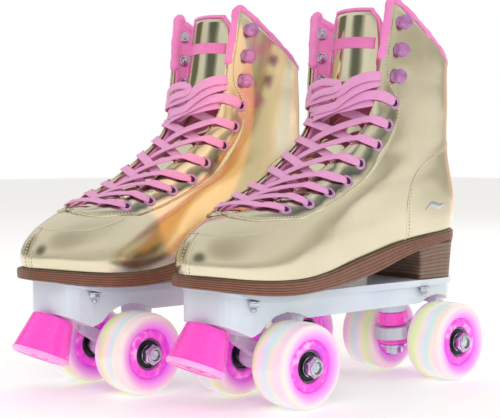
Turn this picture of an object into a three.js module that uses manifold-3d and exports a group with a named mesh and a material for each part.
// A pair of quad roller skates: laced high-top boots on sprung trucks, toes towards -Y, millimetres, +Z up.
import * as THREE from 'three';
import { mergeVertices } from 'three/addons/utils/BufferGeometryUtils.js';
import Module from 'manifold-3d';

const wasm = await Module();
wasm.setup();

// ---------- sizes ----------
const WHEEL_D = 58, WHEEL_W = 32, HUB_R = 17.5, TRACK = 33, WHEELBASE_HALF = 78.5, AXLE_Z = 27;
const GAP = 0.3;                     // running and seating clearance
const UPPER_T = 2.4;                 // wall of the boot upper
const LINING_IN = 6.0;               // depth of the inside face of the lining
const AXLE_R = 4, AXLE_END = 51.5;
const KING_Y = 55, KING_LEAN = 5.5;  // kingpin axis, degrees it leans towards the axle
const RIGHT_X = -111, RIGHT_Y = -48; // where the right skate stands beside the left one
const PLATE_UNDER = 55.5;            // underside of the plate between the trucks
const ARCH_R = 34;                   // wheel arches in the plate
const SEG_WHEEL = 20, SEG_SMALL = 10;

// ---------- boot surface: slices from the front curve to the back curve ----------
const K = [
  [-146.5, 91.8, 113, 109.7, 1.0], [-147.8, 98, 117, 115, 0.97], [-147, 104, 118.6, 121, 0.92],
  [-144, 110.5, 118.8, 127.5, 0.83], [-138.5, 117.5, 118, 134.5, 0.7], [-128.5, 124.8, 116, 142, 0.54],
  [-113.5, 131, 113, 151, 0.38], [-97, 136.3, 110, 160, 0.24], [-77, 143.5, 107.3, 168.5, 0.13],
  [-56.5, 154, 105, 178, 0.05], [-37, 166, 103.3, 187.5, 0], [-19.5, 178, 101.8, 196, 0],
  [-7.5, 190.5, 100.5, 203.5, 0], [-0.5, 205, 99, 211, 0], [3.5, 220.5, 97.6, 218, 0],
  [6.5, 237, 96.3, 224.5, 0], [10, 257, 95.2, 229.5, 0], [13.5, 280, 94.2, 234, 0]];
const LAT = [
  [0, 12.5, 24, 28, 28.3, 31, 38, 42.3, 36, 20.5, 0], [0, 12.8, 24.7, 29.2, 29.8, 32.2, 38.8, 43, 36.4, 21, 0],
  [0, 13, 25, 29.8, 30.5, 32.8, 39.2, 43.2, 36.2, 20.8, 0], [0, 13, 25, 30, 31, 33.2, 39.2, 42.5, 34.5, 19.5, 0],
  [0, 13, 25, 30, 31.3, 33.2, 38.6, 40.5, 31.5, 17, 0], [0, 13, 25, 30, 31.5, 33.2, 37.6, 37.6, 28, 14.8, 0],
  [0, 12.8, 24.8, 30, 31.7, 33.2, 36, 34, 25.3, 13.6, 0], [0, 12.5, 24.5, 29.8, 31.8, 33, 33.8, 30.5, 23.8, 13.2, 0],
  [0, 12.3, 24, 29.6, 32, 32.8, 31.5, 28, 22.8, 13.3, 0], [0, 12, 23.6, 29.4, 32.3, 32.8, 31, 27.5, 22.6, 13.5, 0],
  [0, 11.8, 23.4, 29.5, 32.6, 33.4, 32, 28.5, 23.5, 14.5, 0], [0, 11.6, 23.4, 29.6, 32.9, 34, 33, 30, 25.5, 16, 0],
  [0, 11.6, 23.6, 30, 33.4, 34.7, 34, 31.5, 27.5, 18, 0], [0, 11.8, 24, 30.6, 34.2, 35.6, 35, 33, 29.5, 20, 0],
  [0, 12, 24.4, 31.2, 35, 36.4, 36, 34, 31, 21.5, 0], [0, 12.2, 24.8, 31.8, 35.8, 37.2, 36.9, 35.3, 32, 22.5, 0],
  [0, 12.4, 25.2, 32.4, 36.6, 38, 37.8, 36.3, 33, 23.5, 0], [0, 12.6, 25.6, 33, 37.2, 38.6, 38.5, 37, 33.5, 24, 0]];
const MED = LAT.map((r) => r.slice());
MED[0] = [0, 12.5, 24, 27.5, 26, 28.5, 37, 40, 31, 17, 0];
MED[1] = [0, 12.8, 24.7, 28.7, 27.8, 30, 38, 40.6, 32, 17.8, 0];
MED[2] = [0, 13, 25, 29.2, 28.8, 31, 38.4, 40.8, 32, 18, 0];
MED[3] = [0, 13, 25, 29.5, 29.5, 31.7, 38.4, 40.2, 31.5, 17.5, 0];
MED[4] = [0, 13, 25, 29.6, 30.2, 32.2, 37.8, 38.5, 29.5, 16, 0];
MED[5] = [0, 13, 25, 29.8, 31, 32.6, 36.8, 36, 26.5, 14.2, 0];
MED[6] = [0, 12.8, 24.8, 30, 31.5, 33, 35.4, 32.8, 24.5, 13.4, 0];
const FEATHER = [[-150, 88.2], [-135, 86.6], [-122, 85.2], [-103, 84], [-75, 83.8], [-58, 85.4], [-40, 88], [-20, 92], [0, 95.7],
  [19, 100], [28, 102], [57, 106], [85, 108], [116, 109.5]];   // top edge of the outsole, (y, z)
const SOLE_BOTTOM = [[-150, 81.5], [-135, 79], [-122, 76.8], [-107, 75.4], [-89, 74.8], [-74, 74.9], [-58, 75.7], [-40, 77],
  [-20, 79], [0, 82], [19, 87], [30, 90.5], [45, 95], [57, 97.5], [85, 100], [116, 101.5]];

const lerp = (a, b, t) => a + (b - a) * t;
const clamp = (x, a, b) => Math.min(b, Math.max(a, x));
function table(T, y) {
  if (y <= T[0][0]) return T[0][1];
  for (let i = 1; i < T.length; i++) if (y <= T[i][0]) return lerp(T[i - 1][1], T[i][1], (y - T[i - 1][0]) / (T[i][0] - T[i - 1][0]));
  return T[T.length - 1][1];
}
function smooth(T, y) {              // gaussian-weighted average of a table
  let s = 0, w = 0;
  for (let d = -24; d <= 24; d += 2) { const g = Math.exp(-0.5 * (d / 10) ** 2); s += g * table(T, clamp(y + d, -152, 118)); w += g; }
  return s / w;
}
const feather = (y) => smooth(FEATHER, clamp(y, -152, 118));
const soleBottom = (y) => smooth(SOLE_BOTTOM, clamp(y, -152, 118));
function cubic(a, b, c, d, u) {
  return 0.5 * (2 * b + (-a + c) * u + (2 * a - 5 * b + 4 * c - d) * u * u + (-a + 3 * b - 3 * c + d) * u * u * u);
}
function rowAt(T, t) {
  const n = T.length, i = clamp(Math.floor(t), 0, n - 2), u = t - i;
  const g = (j) => (j < 0 ? T[0].map((x, k) => 2 * x - T[1][k]) : j > n - 1 ? T[n - 1].map((x, k) => 2 * x - T[n - 2][k]) : T[j]);
  const [a, b, c, d] = [g(i - 1), g(i), g(i + 1), g(i + 2)];
  return b.map((_, k) => cubic(a[k], b[k], c[k], d[k], u));
}
function widthAt(row, th) {
  const q = Math.abs(th) / (Math.PI / 10), e = [-row[1], ...row, -row[row.length - 2]];
  const i = clamp(Math.floor(q), 0, row.length - 2), u = q - i;
  return cubic(e[i], e[i + 1], e[i + 2], e[i + 3], u);
}
const LIN0 = (y) => K[0][3] + (K[0][1] - K[0][3]) * (y - K[0][2]) / (K[0][0] - K[0][2]);
// Point on the boot: slice v, angle th (0 back, PI front), off = depth inside the outer face, side +1 outer, -1 inner.
function bootPoint(v, th, off = 0, side = 1) {
  let [Fy, Fz, By, Bz, c] = rowAt(K, v);
  if (off) {
    const p = rowAt(K, v - 0.02), q = rowAt(K, v + 0.02);
    const ty = q[0] - p[0], tz = q[1] - p[1], L = Math.hypot(ty, tz);
    Fy += tz / L * off; Fz -= ty / L * off; By -= off;
  }
  const s = (1 - Math.cos(th)) / 2;
  const y = By + (Fy - By) * s;
  let z = Bz + (Fz - Bz) * s;
  const yc = clamp(y, -152, 118);
  z += Math.max(c, 0) * (feather(yc) + GAP - LIN0(yc));
  if (v > 14) z -= 7.5 * (v - 14) / 3 * Math.sin(Math.PI * clamp(s, 0, 1) ** 0.6);
  let x = widthAt(rowAt(side > 0 ? LAT : MED, v), th);
  x = Math.max(0, x - off * Math.sqrt(clamp(Math.sin(th), 0, 1)));
  return [side * x, y, z];
}

// ---------- solid helpers ----------
function geo(pos, idx) {
  const g = new THREE.BufferGeometry();
  g.setAttribute('position', new THREE.BufferAttribute(new Float32Array(pos.flat()), 3));
  g.setIndex(idx);
  return g;
}
function signedVolume(g) {
  const p = g.attributes.position.array, x = g.index.array; let s = 0;
  for (let i = 0; i < x.length; i += 3) {
    const [a, b, c] = [x[i] * 3, x[i + 1] * 3, x[i + 2] * 3];
    s += p[a] * (p[b + 1] * p[c + 2] - p[b + 2] * p[c + 1]) - p[a + 1] * (p[b] * p[c + 2] - p[b + 2] * p[c]) + p[a + 2] * (p[b] * p[c + 1] - p[b + 1] * p[c]);
  }
  return s / 6;
}
function facesOut(g) {
  if (signedVolume(g) < 0) { const a = g.index.array; for (let i = 0; i < a.length; i += 3) [a[i], a[i + 1]] = [a[i + 1], a[i]]; }
  return g;
}
// Closed body through rings of the same count, ends capped to their middle point; loop = true joins last to first.
function loft(rings, loop = false, ladder = false) {
  const n = rings[0].length, pos = rings.flat(), idx = [], m = rings.length;
  for (let i = 0; i < (loop ? m : m - 1); i++) for (let j = 0; j < n; j++) {
    const a = i * n + j, b = i * n + (j + 1) % n, c = ((i + 1) % m) * n + j, d = ((i + 1) % m) * n + (j + 1) % n;
    idx.push(a, b, d, a, d, c);
  }
  if (!loop) for (const [k, flip] of [[0, true], [m - 1, false]]) {
    if (ladder) {                      // ring runs back to front on one side and returns on the other
      const h = n / 2, a = (i) => k * n + i % n, t = [];
      t.push([a(0), a(1), a(n - 1)]);
      for (let i = 1; i < h - 1; i++) t.push([a(i), a(i + 1), a(n - i)], [a(i + 1), a(n - i - 1), a(n - i)]);
      t.push([a(h - 1), a(h), a(h + 1)]);
      for (const [p, q, r] of t) flip ? idx.push(p, r, q) : idx.push(p, q, r);
      continue;
    }
    if (n === 4) { const a = k * n; flip ? idx.push(a, a + 2, a + 1, a, a + 3, a + 2) : idx.push(a, a + 1, a + 2, a, a + 2, a + 3); continue; }
    const mid = [0, 1, 2].map((t) => rings[k].reduce((s, p) => s + p[t], 0) / n), o = pos.length; pos.push(mid);
    for (let j = 0; j < n; j++) { const a = k * n + j, b = k * n + (j + 1) % n; flip ? idx.push(b, a, o) : idx.push(a, b, o); }
  }
  return facesOut(geo(pos, idx));
}
// Turned body about Z from (r, z) points; closed either on the axis or back on itself.
function turned(profile, seg, phase = 0) {
  const pos = [], idx = [], start = [], onAxis = profile.map((p) => p[0] === 0);
  profile.forEach(([r, z], i) => {
    start.push(pos.length);
    if (onAxis[i]) pos.push([0, 0, z]);
    else for (let k = 0; k < seg; k++) { const t = (k + phase) / seg * 2 * Math.PI; pos.push([r * Math.cos(t), r * Math.sin(t), z]); }
  });
  const closed = !(onAxis[0] && onAxis[profile.length - 1]), m = profile.length;
  for (let i = 0; i < (closed ? m : m - 1); i++) {
    const j = (i + 1) % m;
    for (let k = 0; k < seg; k++) {
      const a = start[i] + (onAxis[i] ? 0 : k), b = start[i] + (onAxis[i] ? 0 : (k + 1) % seg);
      const c = start[j] + (onAxis[j] ? 0 : k), d = start[j] + (onAxis[j] ? 0 : (k + 1) % seg);
      if (!onAxis[i]) idx.push(a, b, onAxis[j] ? c : d);
      if (!onAxis[j]) idx.push(a, d, c);
    }
  }
  return facesOut(geo(pos, idx));
}
// Prism from a polygon in (u, w) along an axis: 'x' gives u=y w=z, 'z' gives u=x w=y.
function prism(poly, axis, a, b) {
  const tri = THREE.ShapeUtils.triangulateShape(poly.map((p) => new THREE.Vector2(p[0], p[1])), []);
  const at = (p, t) => (axis === 'x' ? [t, p[0], p[1]] : axis === 'y' ? [p[0], t, p[1]] : [p[0], p[1], t]);
  const n = poly.length, pos = [...poly.map((p) => at(p, a)), ...poly.map((p) => at(p, b))], idx = [];
  for (const [p, q, r] of tri) idx.push(p, r, q, p + n, q + n, r + n);
  const ccw = THREE.ShapeUtils.area(poly.map((p) => new THREE.Vector2(p[0], p[1]))) > 0;
  for (let i = 0; i < n; i++) { const j = (i + 1) % n; ccw ? idx.push(i, j, j + n, i, j + n, i + n) : idx.push(j, i, j + n, j + n, i, i + n); }
  return facesOut(geo(pos, idx));
}
const box = (x0, x1, y0, y1, z0, z1) => prism([[x0, y0], [x1, y0], [x1, y1], [x0, y1]], 'z', z0, z1);
function toM(g) {
  const w = mergeVertices(g, 1e-4);
  return new wasm.Manifold(new wasm.Mesh({ numProp: 3, vertProperties: new Float32Array(w.attributes.position.array), triVerts: new Uint32Array(w.index.array) }));
}
function fromM(m) {
  const k = m.getMesh(), g = new THREE.BufferGeometry();
  g.setAttribute('position', new THREE.BufferAttribute(new Float32Array(k.vertProperties), 3));
  g.setIndex(Array.from(k.triVerts));
  return g;
}
const minus = (a, ...b) => b.reduce((s, t) => s.subtract(toM(t)), a.isManifold ? a : toM(a));
const cut = (a, ...b) => { let m = toM(a); for (const t of b) m = m.subtract(toM(t)); return fromM(m); };
const join = (...b) => { let m = toM(b[0]); for (const t of b.slice(1)) m = m.add(toM(t)); return fromM(m); };
const move = (g, x, y, z) => g.applyMatrix4(new THREE.Matrix4().makeTranslation(x, y, z));
const alongX = (g) => g.applyMatrix4(new THREE.Matrix4().set(0, 0, 1, 0, 1, 0, 0, 0, 0, 1, 0, 0, 0, 0, 0, 1));

// ---------- boot ----------
const N = 10;                        // stations from back to front along each side of a ring
function bootRing(v, off, n = N, lift = 0) {
  const r = [];
  for (let i = 0; i <= n; i++) { const p = bootPoint(v, Math.PI * i / n, off, 1); p[2] += lift; r.push(p); }
  for (let i = n - 1; i > 0; i--) { const p = bootPoint(v, Math.PI * i / n, off, -1); p[2] += lift; r.push(p); }
  return r;
}
const VS = [0, 1.5, 3, 4.5, 6, 8, 10, 12, 14, 17];
function frontCutter(v0, half, depth, up = 14) {     // channel along the front curve for the lace opening
  const rings = [];
  for (const v of [v0, v0 + 1.2, 8, 10, 12, 14, 16, 18.4]) {
    const k = rowAt(K, Math.min(v, 17)), p = rowAt(K, Math.min(v, 17) - 0.02), q = rowAt(K, Math.min(v, 17) + 0.02);
    const L = Math.hypot(q[0] - p[0], q[1] - p[1]), ny = (q[1] - p[1]) / L, nz = -(q[0] - p[0]) / L;
    const ext = Math.max(0, v - 17) * 22, dy = (q[0] - p[0]) / L * ext, dz = (q[1] - p[1]) / L * ext;
    const w = half(v), y = k[0] + dy, z = k[1] + dz;
    rings.push([[-w, y - ny * up, z - nz * up], [w, y - ny * up, z - nz * up], [w, y + ny * depth, z + nz * depth], [-w, y + ny * depth, z + nz * depth]]);
  }
  return loft(rings);
}
const throatHalf = (v) => lerp(9, 20, clamp((v - 5.6) / 6, 0, 1));
const EYELETS = [[-84.4, 129.6], [-66.3, 133.2], [-46.5, 139.8], [-26.5, 148.3], [-12.5, 160], [3.2, 173], [14.5, 188.2], [19.3, 204.3]];
// Angle position of a point on the lace row: slice v and th such that the outer face passes near (y, z).
function onBoot(y, z, side) {
  let best = null, v0 = 5, v1 = 16.9, t0 = 1.9, t1 = 3.05;
  for (let pass = 0; pass < 5; pass++) {
    for (let i = 0; i <= 12; i++) for (let j = 0; j <= 12; j++) {
      const v = lerp(v0, v1, i / 12), t = lerp(t0, t1, j / 12), p = bootPoint(v, t, 0, side), d = (p[1] - y) ** 2 + (p[2] - z) ** 2;
      if (!best || d < best.d) best = { d, v, t };
    }
    const hv = (v1 - v0) / 6, ht = (t1 - t0) / 6;
    v0 = best.v - hv; v1 = best.v + hv; t0 = best.t - ht; t1 = best.t + ht;
  }
  return best;
}
function normalAt(v, t, side) {
  const a = bootPoint(v + 0.05, t, 0, side), b = bootPoint(v - 0.05, t, 0, side), c = bootPoint(v, t + 0.02, 0, side), d = bootPoint(v, t - 0.02, 0, side);
  const n = new THREE.Vector3().subVectors(new THREE.Vector3(...a), new THREE.Vector3(...b))
    .cross(new THREE.Vector3().subVectors(new THREE.Vector3(...c), new THREE.Vector3(...d))).normalize();
  if (n.x * side < 0) n.negate();
  return n;
}
const HOLES = [];
for (const side of [1, -1]) for (const [y, z] of EYELETS) {
  const b = onBoot(y, z, side), p = new THREE.Vector3(...bootPoint(b.v, b.t, 0, side)), n = normalAt(b.v, b.t, side);
  HOLES.push({ side, p, n, v: b.v, t: b.t });
}
function holeCutter(h) {
  const g = turned([[0, -9], [2.7, -9], [2.7, 6], [0, 6]], 6);
  g.applyMatrix4(new THREE.Matrix4().makeRotationFromQuaternion(new THREE.Quaternion().setFromUnitVectors(new THREE.Vector3(0, 0, 1), h.n)));
  return move(g, h.p.x, h.p.y, h.p.z);
}
function upper() {
  const outer = loft(VS.map((v) => bootRing(v, 0)), false, true);
  const inner = loft([bootRing(0, UPPER_T, N, -6), ...VS.map((v) => bootRing(v, UPPER_T)), bootRing(17, UPPER_T, N, 30)], false, true);
  return cut(outer, inner, frontCutter(5.9, throatHalf, 16), ...HOLES.map(holeCutter));
}
function lining() {
  const vs = VS.slice(1);
  const outer = loft([...vs.map((v) => bootRing(v, UPPER_T + 0.6)), bootRing(17, UPPER_T + 0.6, N, 3)], false, true);
  const inner = loft([bootRing(vs[0], LINING_IN, N, -6), ...vs.map((v) => bootRing(v, LINING_IN)), bootRing(17, LINING_IN, N, 40)], false, true);
  return cut(outer, inner, frontCutter(4.2, (v) => 31, 26));
}
function tongue() {                    // arched strip that follows the front curve, inside the quarters
  const rings = [];
  for (const v of [6.4, 7.4, 8.4, 9.6, 10.8, 12, 13.4, 15, 16.7]) {
    const k = rowAt(K, v), a = rowAt(K, v - 0.05), c = rowAt(K, v + 0.05), L = Math.hypot(c[0] - a[0], c[1] - a[1]);
    const n = [(c[1] - a[1]) / L, -(c[0] - a[0]) / L];                // points into the boot
    const half = lerp(15, 24, clamp((v - 6.4) / 4, 0, 1)) - (v > 16 ? 1.5 : 0);
    const row = (depth) => [-1, -0.5, 0, 0.5, 1].map((u) => {
      const x = u * half, d = depth + 0.9 * x * x / lerp(34, 44, clamp((v - 6) / 6, 0, 1));
      return [x, k[0] + n[0] * d, k[1] + n[1] * d];
    });
    rings.push([...row(4.2), ...row(7.2).reverse()]);
  }
  return loft(rings);
}
function outline(v, off, n, zf) {
  const r = [];
  for (const side of [1, -1]) for (let i = (side > 0 ? 0 : n - 1); side > 0 ? i <= n : i > 0; i += side) {
    const th = Math.PI * i / n, p = bootPoint(0, th, off, side); r.push([p[0], -18 + (p[1] + 18) * (1 - off / 130), p[2]]);
  }
  return r.map(([x, y]) => [x, y, zf(y)]);
}
function outsole() {
  const n = N + 2;
  const side = (zf, g) => outline(0, 0, n, zf).map((p, i) => {
    const th = i <= n ? Math.PI * i / n : Math.PI * (2 * n - i) / n, s = Math.sign(p[0]) || 0;
    return [p[0] + s * g * Math.sqrt(Math.sin(th)), -18 + (p[1] + 18) * (1 + g / 130), 0];
  }).map((p) => [p[0], p[1], zf(p[1])]);
  return loft([side((y) => soleBottom(y), 2.2), side((y) => soleBottom(y) + 1.2, 3.2), side((y) => feather(y) - 1, 3.2), side((y) => feather(y) - 0.35, 2.4)], false, true);
}
function insole() {
  return loft([bootRing(0.5, UPPER_T + 1.0), bootRing(1.0, UPPER_T + 1.0)], false, true);
}
function heel() {
  const top = [], bot = [], n = 10;
  for (let i = 0; i < n; i++) {
    const a = i / (n - 1) * Math.PI, x = Math.cos(a), yb = Math.sin(a);
    top.push([29.5 * x, 82 + 25.6 * yb, 0]); bot.push([27 * x, 82 + 23.6 * yb, 74]);
  }
  top.push([-29, 53, 0], [29, 53, 0]); bot.push([-27, 54.5, 74], [27, 54.5, 74]);
  return cut(loft([bot, top.map(([x, y]) => [x, y, 103.5])]), move(outsole(), 0, 0, -0.4));
}

// ---------- ribbon lace ----------
function ribbon(path) {              // path: {p, n, w, t}; closed flat-section sweep
  const rings = path.map((s, i) => {
    const a = path[Math.max(0, i - 1)].p, b = path[Math.min(path.length - 1, i + 1)].p;
    const d = new THREE.Vector3().subVectors(b, a).normalize(), n = s.n.clone().addScaledVector(d, -s.n.dot(d)).normalize(), e = new THREE.Vector3().crossVectors(d, n);
    const q = (u, w) => s.p.clone().addScaledVector(e, u * s.w / 2).addScaledVector(n, w * s.t / 2).toArray();
    return [q(-1, -1), q(1, -1), q(1, 1), q(-1, 1)];
  });
  return loft(rings);
}

// ---------- chassis ----------
function plate() {
  const st = [[-132.8, 20, 82, 17], [-131.4, 24.5, 82, 21], [-128.5, 28, 82, 24], [-123, 31, 80, 25.5], [-112, 32.8, 77, 25.8], [-100, 33, 74.4, 25], [-78, 31, 74.2, 24],
    [-56, 28, 73.5, 24], [-30, 26, 73.5, 24], [0, 25.5, 73.5, 23.5], [30, 26.5, 73.5, 24], [62, 28, 73.5, 24], [82, 28, 73.5, 24], [92, 26.5, 73.5, 23], [97, 23, 73.5, 20], [99.5, 17, 73.5, 15]];
  const under = (y) => {
    let z = PLATE_UNDER;
    for (const a of [-WHEELBASE_HALF, WHEELBASE_HALF]) { const d = y - a; if (Math.abs(d) < ARCH_R + 0.2) z = Math.max(z, AXLE_Z + Math.sqrt((ARCH_R + 0.2) ** 2 - d * d)); }
    return z;
  };
  const ys = [-132.8, -131.4, -128.5, -123, -112, -104, -98, -90, -78.5, -67, -58, -52, -44, 0, 44, 52, 60, 67, 78.5, 90, 97, 99.5];
  const at = (y, k) => table(st.map((s) => [s[0], s[k]]), y);
  const rings = ys.map((y) => {
    const zt = at(y, 2), hw = at(y, 1), sk = Math.min(at(y, 3), hw - 1);
    const zb = y < -111 ? STOP_TOP[2] + 0.6 - 0.434 * (y - STOP_TOP[1]) : y < -100 ? 50 : under(y);
    const fb = zt - 4.6;
    return [[hw, zt], [hw, fb], [sk, fb - 0.5], [sk, Math.min(zb, fb - 2)], [-sk, Math.min(zb, fb - 2)], [-sk, fb - 0.5], [-hw, fb], [-hw, zt]].map(([x, z]) => [x, y, z]);
  });
  // the plate's top follows the sole, so it keeps clear of it by the gap
  let m = toM(loft(rings));
  m = m.subtract(toM(loft([-152, -140, -134, -128, -122, -114, -104, -90, -74, -58, -40, 0, 60].map((y) => { const z = soleBottom(y) - GAP; return [[-50, y, z], [50, y, z], [50, y, z + 40], [-50, y, z + 40]]; }))));
  for (const s of [-1, 1]) {                            // housings for the kingpins and pivots
    m = m.add(toM(turnedAt([[0, 0], [11, 0], [12.5, 12], [0, 12]], 12, KP(s, 48.6), KDIR(s))));
    m = m.add(toM(turnedAt([[0, 0], [8.5, 0], [9.5, 12], [0, 12]], 10, [0, s * 104, 52], [0, 0, 1])));
    m = m.subtract(toM(turnedAt([[0, -20], [4.4, -20], [4.4, 10], [0, 10]], SEG_SMALL, KP(s, 48.6), KDIR(s))));
    m = m.subtract(toM(turnedAt([[0, -8], [5.2, -8], [5.2, 6], [0, 6]], SEG_SMALL, [0, s * 104, 52], [0, 0, 1])));
  }
  // clearance for the truck arm and wheels
  m = m.subtract(toM(move(alongX(turned([[0, -60], [ARCH_R, -60], [ARCH_R, -16.6], [12, -16.6], [12, 16.6], [ARCH_R, 16.6], [ARCH_R, 60], [0, 60]], 18)), 0, -WHEELBASE_HALF, AXLE_Z)));
  m = m.subtract(toM(move(alongX(turned([[0, -60], [ARCH_R, -60], [ARCH_R, -16.6], [12, -16.6], [12, 16.6], [ARCH_R, 16.6], [ARCH_R, 60], [0, 60]], 18)), 0, WHEELBASE_HALF, AXLE_Z)));
  m = m.subtract(toM(turnedAt([[0, -8], [4.3, -8], [4.3, 22], [0, 22]], SEG_SMALL, STOP_TOP, STOP_DIR.map((x) => -x))));   // toe-stop bolt bore
  return fromM(m);
}
// kingpin line: leans towards the axle going down; s = +1 rear, -1 front
const LEAN = Math.tan(KING_LEAN * Math.PI / 180);
const KP = (s, z) => [0, s * (KING_Y + (55 - z) * LEAN), z];
const KDIR = (s) => { const L = Math.hypot(LEAN, 1); return [0, -s * LEAN / L, 1 / L]; };
const STOP_TOP = [0, -127.4, 53.4], STOP_DIR = [0, -0.398, -0.917];
function turnedAt(profile, seg, at, dir) {
  const g = turned(profile, seg);
  g.applyMatrix4(new THREE.Matrix4().makeRotationFromQuaternion(new THREE.Quaternion().setFromUnitVectors(new THREE.Vector3(0, 0, 1), new THREE.Vector3(...dir).normalize())));
  return move(g, ...at);
}
const ring = (ri, ro, z0, z1) => [[ri, z0], [ro, z0], [ro, z1], [ri, z1]];
function truck(s) {
  const y = s * WHEELBASE_HALF;
  let m = toM(move(alongX(turned([[0, -16.4], [7.6, -16.4], [8.4, -12], [8.4, 12], [7.6, 16.4], [0, 16.4]], 12)), 0, y, AXLE_Z));
  const c = KP(s, 32.5);
  m = m.add(toM(turnedAt([[0, -4.5], [14, -4.5], [14, 4.5], [0, 4.5]], 16, c, KDIR(s))));
  m = m.add(toM(prism([[-12, c[1]], [12, c[1]], [9, y + s * 2], [-9, y + s * 2]], 'z', 28.4, 36.4)));
  m = m.add(toM(loft([[[-7, y, 24], [7, y, 24], [7, y, 36], [-7, y, 36]], [[-4, s * 104, 39.5], [4, s * 104, 39.5], [4, s * 105, 46.4], [-4, s * 105, 46.4]]])));
  m = m.add(toM(turned([[0, 42], [4, 42], [4.2, 54], [3, 56.5], [0, 56.5]], 8).translate(0, s * 104, 0)));
  m = m.subtract(toM(turnedAt([[0, -12], [5.4, -12], [5.4, 12], [0, 12]], 12, c, KDIR(s))));
  m = m.subtract(toM(move(alongX(turned([[0, -30], [AXLE_R + GAP, -30], [AXLE_R + GAP, 30], [0, 30]], SEG_SMALL)), 0, y, AXLE_Z)));
  return fromM(m);
}
const cushionUp = (s) => turnedAt([[4.5, -10.4], [5.4, -10.4], [11, -9.8], [11.6, -5.5], [11, -0.4], [4.5, -0.4]], 10, KP(s, 48.2), KDIR(s));
const cushionLow = (s) => turnedAt([[4.5, -5.1], [5.4, -5.1], [10.2, -5.7], [10.6, -7.2], [10, -8.8], [4.5, -8.8]], 10, KP(s, 32.5), KDIR(s));
const kingpin = (s) => turnedAt([[0, -17.8], [3.4, -17.8], [4, -17], [4, 24], [0, 24]], SEG_SMALL, KP(s, 32.5), KDIR(s));
function nutStack(s) {               // washer, cup and hexagon nut as one turned stack
  return turnedAt([[4.3, -16.2], [6.4, -16.2], [6.4, -11], [9.6, -11], [10.2, -9.3], [4.3, -9.3]], 6 * 2, KP(s, 32.5), KDIR(s));
}

// ---------- wheel parts (about the X axis) ----------
const TYRE_R = WHEEL_D / 2;
const tyreProfile = [[HUB_R + 0.3, -13.4], [24, -16], [27.5, -14.4], [TYRE_R, -10], [TYRE_R, 10], [27.5, 14.4], [24, 16], [HUB_R + 0.3, 13.4]];
const hubProfile = [[11.3, -4.8], [11.3, -13.2], [HUB_R, -13.2], [HUB_R, 13.2], [11.3, 13.2], [11.3, 4.8], [5.2, 4.8], [5.2, -4.8]];

// ---------- colours ----------
const MAT = {
  gold: ['#d9cba2', 0.25, 0.9], pink: ['#ee8fd2', 0.95, 0], lace: ['#ee9fdc', 0.9, 0], brown: ['#7a4a30', 0.6, 0], heel: ['#6f5243', 0.6, 0],
  plate: ['#dfe4f5', 0.45, 0], truck: ['#e6e6ee', 0.5, 0], magenta: ['#f24fc4', 0.4, 0], steel: ['#c9ccd2', 0.25, 1], tyre: ['#f7eef8', 0.25, 0], insole: ['#e7a6c9', 0.9, 0],
};
const group = new THREE.Group();
group.name = 'quad_skates';
const parts = [];
function add(name, g, mat, side) {
  let h = g.index ? g : mergeVertices(g, 1e-4);
  h = mergeVertices((() => { const k = new THREE.BufferGeometry(); k.setAttribute('position', h.attributes.position); k.setIndex(h.index); return k; })(), 1e-4);
  if (side < 0) {
    h.applyMatrix4(new THREE.Matrix4().makeScale(-1, 1, 1));
    const a = h.index.array; for (let i = 0; i < a.length; i += 3) [a[i], a[i + 1]] = [a[i + 1], a[i]];
    move(h, RIGHT_X, RIGHT_Y, 0);
  }
  h.computeVertexNormals();
  const [c, r, m] = MAT[mat];
  const mesh = new THREE.Mesh(h, new THREE.MeshStandardMaterial({ color: c, roughness: r, metalness: m }));
  mesh.name = (side > 0 ? 'left_' : 'right_') + name;
  parts.push(mesh);
  group.add(mesh);
}

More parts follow.
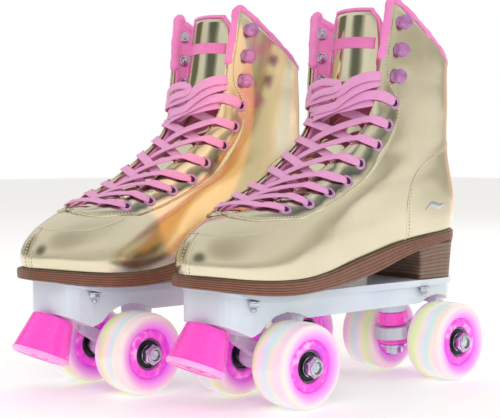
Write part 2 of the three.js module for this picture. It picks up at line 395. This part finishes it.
// One flat lace: a straight bar at the toe end, crossed rows above it drawn over the quarters' edges to the eyelets, tied at the top.
function lace() {
  const W = 7.2, T = 1.3, pts = [];
  const at = (v, t, side, h, w = W) => {
    let n;
    if (Math.PI - t < 0.3) { const a = rowAt(K, v - 0.05), c = rowAt(K, v + 0.05); n = new THREE.Vector3(0, -(c[1] - a[1]), c[0] - a[0]).normalize(); } else n = normalAt(v, t, side);
    return { p: new THREE.Vector3(...bootPoint(v, t, 0, side)).addScaledVector(n, h), n, w, t: T };
  };
  const hole = (side, k) => HOLES[(side > 0 ? 0 : 8) + k];
  const leg = (A, B, peak, from = 0) => {       // points from eyelet A to eyelet B, A's own point included
    for (const s of [0, 0.14, 0.3, 0.5, 0.7, 0.86]) {
      if (s < from) continue;
      const v = lerp(A.v, B.v, s), e = Math.min(s, 1 - s), w = e < 0.01 ? 2.6 : e < 0.2 ? 5.2 : W, h = lerp(e < 0.01 ? 2 : 4.3, peak, clamp(e / 0.5, 0, 1));
      pts.push(s <= 0.5 ? at(v, lerp(A.t, Math.PI, s * 2), A.side, h, w) : at(v, lerp(Math.PI, B.t, s * 2 - 1), B.side, h, w));
    }
  };
  const knot = at(14.2, Math.PI, 1, 8.5);
  const end = (x) => ({ p: knot.p.clone().add(new THREE.Vector3(x, 0, 0)), n: knot.n, w: 4, t: T });
  const up = (side) => { const a = hole(side, 7); return at(lerp(a.v, 14.2, 0.5), lerp(a.t, Math.PI, 0.45), side, 6, 5.5); };
  pts.push(end(-3), up(-1));
  for (let k = 7; k > 0; k--) leg(hole(k % 2 ? -1 : 1, k), hole(k % 2 ? 1 : -1, k - 1), 3.9);
  leg(hole(1, 0), hole(-1, 0), 3.2);
  for (let k = 0; k < 7; k++) leg(hole(k % 2 ? 1 : -1, k), hole(k % 2 ? -1 : 1, k + 1), 6);
  pts.push(at(hole(1, 7).v, hole(1, 7).t, 1, 1.8, 2.6), up(1), end(3));
  const kn = [];
  for (const [x, r] of [[-16, 1.6], [-8, 4], [6, 4.4], [15, 1.8]]) kn.push([[x, knot.p.y - r, knot.p.z - r], [x, knot.p.y + r * 0.5, knot.p.z - r], [x, knot.p.y + r * 0.7, knot.p.z + r], [x, knot.p.y - r * 0.6, knot.p.z + r * 1.2]]);
  return join(ribbon(pts), loft(kn));
}

for (const side of [1, -1]) {
  add('boot_upper', upper(), 'gold', side);
  add('collar_lining', lining(), 'pink', side);
  add('tongue', tongue(), 'gold', side);
  add('insole', insole(), 'insole', side);
  add('outsole', outsole(), 'brown', side);
  add('heel', heel(), 'heel', side);
  add('plate', plate(), 'plate', side);
  for (const [e, s] of [['front', -1], ['rear', 1]]) {
    add(e + '_truck', truck(s), 'truck', side);
    add(e + '_cushion_upper', cushionUp(s), 'magenta', side);
    add(e + '_cushion_lower', cushionLow(s), 'magenta', side);
    add(e + '_kingpin', kingpin(s), 'steel', side);
    add(e + '_kingpin_nut', nutStack(s), 'steel', side);
    add(e + '_axle', move(alongX(turned([[0, -AXLE_END], [3.4, -AXLE_END], [AXLE_R, -AXLE_END + 1], [AXLE_R, AXLE_END - 1], [3.4, AXLE_END], [0, AXLE_END]], SEG_SMALL)), 0, s * WHEELBASE_HALF, AXLE_Z), 'steel', side);
    for (const [w, d] of [['outer', 1], ['inner', -1]]) {
      add(e + '_' + w + '_tyre', move(alongX(turned(tyreProfile, SEG_WHEEL, 0.5)), d * TRACK, s * WHEELBASE_HALF, AXLE_Z), 'tyre', side);
      add(e + '_' + w + '_hub', move(alongX(turned(hubProfile, 12)), d * TRACK, s * WHEELBASE_HALF, AXLE_Z), 'magenta', side);
    }
  }
  add('toe_stop', turnedAt([[4.3, 0.6], [14.4, 0.6], [15.2, 2], [20.2, 28.4], [19.4, 30.2], [4.3, 30.2]], 18, STOP_TOP, STOP_DIR), 'magenta', side);
  add('toe_stop_bolt', turnedAt([[0, -16], [4, -16], [4, 29.6], [0, 29.6]], SEG_SMALL, STOP_TOP, STOP_DIR), 'steel', side);
  add('lace', lace(), 'lace', side);
}

// Origin at the middle of the pair's footprint, on the floor.
const bb = new THREE.Box3();
for (const m of parts) { m.geometry.computeBoundingBox(); bb.union(m.geometry.boundingBox); }
const shift = [-(bb.min.x + bb.max.x) / 2, -(bb.min.y + bb.max.y) / 2, -bb.min.z];
for (const m of parts) { move(m.geometry, ...shift); m.geometry.computeVertexNormals(); }
group.userData.shift = shift;

export default group;
